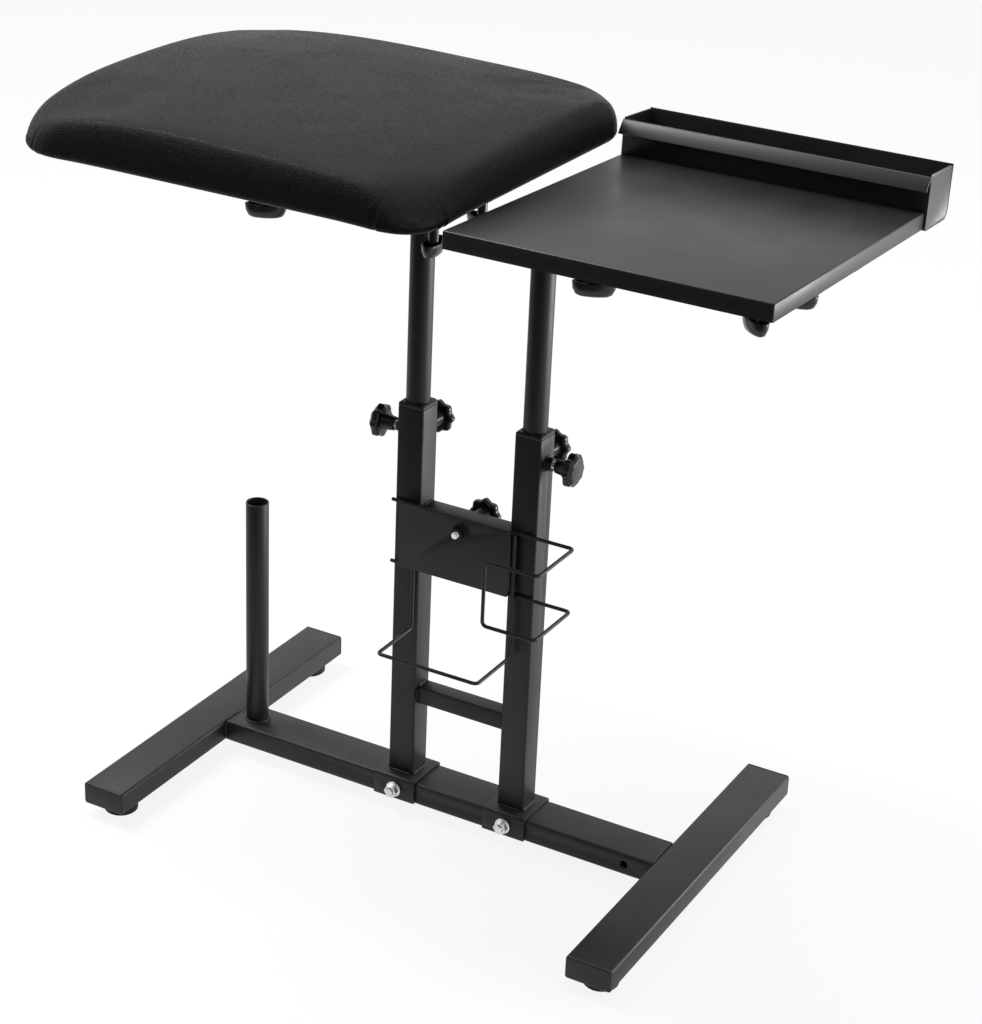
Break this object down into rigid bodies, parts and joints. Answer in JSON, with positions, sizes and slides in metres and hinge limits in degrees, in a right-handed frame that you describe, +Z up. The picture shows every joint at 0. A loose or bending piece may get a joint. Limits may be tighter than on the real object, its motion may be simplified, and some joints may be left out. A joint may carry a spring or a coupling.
{
  "type": "tattoo workstation",
  "caption": "Floor-standing tattoo workstation: padded arm rest and metal tray with rear trough on height-adjustable masts, with a wire bottle rack and an H-shaped tube base.",
  "frame": {"origin": "on the floor, under the middle of the whole workstation's footprint", "axes": "+X runs along the crossbar from the arm pad to the tray, +Y from the artist's side to the trough, +Z up"},
  "size_m": [0.7976, 0.4618, 0.7818],
  "materials": {
    "powder_coat": "black semi-matt powder coat",
    "leatherette": "black leatherette with a fine pebble grain, over foam",
    "plywood": "bare plywood",
    "knob_plastic": "black moulded, slightly glossy, on steel studs",
    "cap_plastic": "black moulded",
    "rubber": "black, dull",
    "zinc": "bright zinc plate"
  },
  "bodies": {
    "base": {"accessory_post": "powder_coat", "crossbar": "powder_coat", "left_foot_tube": "powder_coat", "left_front_end_cap": "cap_plastic", "left_front_glide": "rubber", "left_guide_bush": "cap_plastic", "left_rear_end_cap": "cap_plastic", "left_rear_glide": "rubber", "left_rear_weld_nut": "powder_coat", "left_saddle": "powder_coat", "left_saddle_bolt": "zinc", "left_saddle_nut": "zinc", "left_side_weld_nut": "powder_coat", "left_upright": "powder_coat", "lower_tie": "powder_coat", "rack_loop_wire": "powder_coat", "rack_plate": "powder_coat", "rack_shelf_wire": "powder_coat", "rack_weld_nut": "powder_coat", "right_foot_stub": "powder_coat", "right_foot_tube": "powder_coat", "right_front_end_cap": "cap_plastic", "right_front_glide": "rubber", "right_guide_bush": "cap_plastic", "right_rear_end_cap": "cap_plastic", "right_rear_glide": "rubber", "right_rear_weld_nut": "powder_coat", "right_saddle": "powder_coat", "right_saddle_bolt": "zinc", "right_saddle_nut": "zinc", "right_side_weld_nut": "powder_coat", "right_upright": "powder_coat", "upper_tie": "powder_coat"},
    "left_mast": {"left_mast": "powder_coat", "pad_slide_channel": "powder_coat"},
    "right_mast": {"right_mast": "powder_coat", "tray_slide_channel": "powder_coat"},
    "arm_pad": {"pad_board": "plywood", "pad_cushion": "leatherette", "pad_front_runner": "powder_coat", "pad_rear_runner": "powder_coat"},
    "tray": {"tray_panel": "powder_coat", "tray_trough": "powder_coat", "tray_front_runner": "powder_coat", "tray_rear_runner": "powder_coat"},
    "left_rear_clamp_knob": {"left_rear_clamp_knob": "knob_plastic"},
    "left_side_clamp_knob": {"left_side_clamp_knob": "knob_plastic"},
    "pad_front_left_wing_knob": {"pad_front_left_wing_knob": "knob_plastic"},
    "pad_front_right_wing_knob": {"pad_front_right_wing_knob": "knob_plastic"},
    "pad_rear_left_wing_knob": {"pad_rear_left_wing_knob": "knob_plastic"},
    "pad_rear_right_wing_knob": {"pad_rear_right_wing_knob": "knob_plastic"},
    "rack_knob": {"rack_knob": "knob_plastic"},
    "right_rear_clamp_knob": {"right_rear_clamp_knob": "knob_plastic"},
    "right_side_clamp_knob": {"right_side_clamp_knob": "knob_plastic"},
    "tray_front_left_wing_knob": {"tray_front_left_wing_knob": "knob_plastic"},
    "tray_front_right_wing_knob": {"tray_front_right_wing_knob": "knob_plastic"},
    "tray_rear_left_wing_knob": {"tray_rear_left_wing_knob": "knob_plastic"},
    "tray_rear_right_wing_knob": {"tray_rear_right_wing_knob": "knob_plastic"}
  },
  "joints": [
    {"name": "left_mast_height", "type": "slide", "parent": "base", "child": "left_mast", "axis": [0, 0, 1], "range_m": [-0.17, 0.1]},
    {"name": "right_mast_height", "type": "slide", "parent": "base", "child": "right_mast", "axis": [0, 0, 1], "range_m": [-0.17, 0.1]},
    {"name": "arm_pad_shift", "type": "slide", "parent": "left_mast", "child": "arm_pad", "axis": [-1, 0, 0], "range_m": [0, 0.02]},
    {"name": "tray_shift", "type": "slide", "parent": "right_mast", "child": "tray", "axis": [1, 0, 0], "range_m": [0, 0.02]},
    {"name": "left_side_clamp_knob_turn", "type": "hinge", "parent": "base", "child": "left_side_clamp_knob", "pos_m": [-0.09195, -0.01594, 0.439], "axis": [-1, 0, 0], "continuous": true},
    {"name": "left_rear_clamp_knob_turn", "type": "hinge", "parent": "base", "child": "left_rear_clamp_knob", "pos_m": [-0.04795, 0.02806, 0.439], "axis": [0, 1, 0], "continuous": true},
    {"name": "right_side_clamp_knob_turn", "type": "hinge", "parent": "base", "child": "right_side_clamp_knob", "pos_m": [0.13105, -0.01594, 0.439], "axis": [1, 0, 0], "continuous": true},
    {"name": "right_rear_clamp_knob_turn", "type": "hinge", "parent": "base", "child": "right_rear_clamp_knob", "pos_m": [0.08705, 0.02806, 0.439], "axis": [0, 1, 0], "continuous": true},
    {"name": "rack_knob_turn", "type": "hinge", "parent": "base", "child": "rack_knob", "pos_m": [0.01955, 0.00406, 0.351], "axis": [0, 1, 0], "continuous": true},
    {"name": "pad_front_left_wing_knob_turn", "type": "hinge", "parent": "arm_pad", "child": "pad_front_left_wing_knob", "pos_m": [-0.20175, -0.06294, 0.6714], "axis": [0, 0, 1], "continuous": true},
    {"name": "pad_front_right_wing_knob_turn", "type": "hinge", "parent": "arm_pad", "child": "pad_front_right_wing_knob", "pos_m": [-0.00875, -0.06294, 0.6714], "axis": [0, 0, 1], "continuous": true},
    {"name": "pad_rear_left_wing_knob_turn", "type": "hinge", "parent": "arm_pad", "child": "pad_rear_left_wing_knob", "pos_m": [-0.20175, 0.03106, 0.6714], "axis": [0, 0, 1], "continuous": true},
    {"name": "pad_rear_right_wing_knob_turn", "type": "hinge", "parent": "arm_pad", "child": "pad_rear_right_wing_knob", "pos_m": [-0.00875, 0.03106, 0.6714], "axis": [0, 0, 1], "continuous": true},
    {"name": "tray_front_left_wing_knob_turn", "type": "hinge", "parent": "tray", "child": "tray_front_left_wing_knob", "pos_m": [0.16605, -0.06502, 0.6679], "axis": [0, 0.0436, 0.999], "continuous": true},
    {"name": "tray_front_right_wing_knob_turn", "type": "hinge", "parent": "tray", "child": "tray_front_right_wing_knob", "pos_m": [0.32905, -0.06502, 0.6679], "axis": [0, 0.0436, 0.999], "continuous": true},
    {"name": "tray_rear_left_wing_knob_turn", "type": "hinge", "parent": "tray", "child": "tray_rear_left_wing_knob", "pos_m": [0.16605, 0.0289, 0.6638], "axis": [0, 0.0436, 0.999], "continuous": true},
    {"name": "tray_rear_right_wing_knob_turn", "type": "hinge", "parent": "tray", "child": "tray_rear_right_wing_knob", "pos_m": [0.32905, 0.0289, 0.6638], "axis": [0, 0.0436, 0.999], "continuous": true}
  ]
}
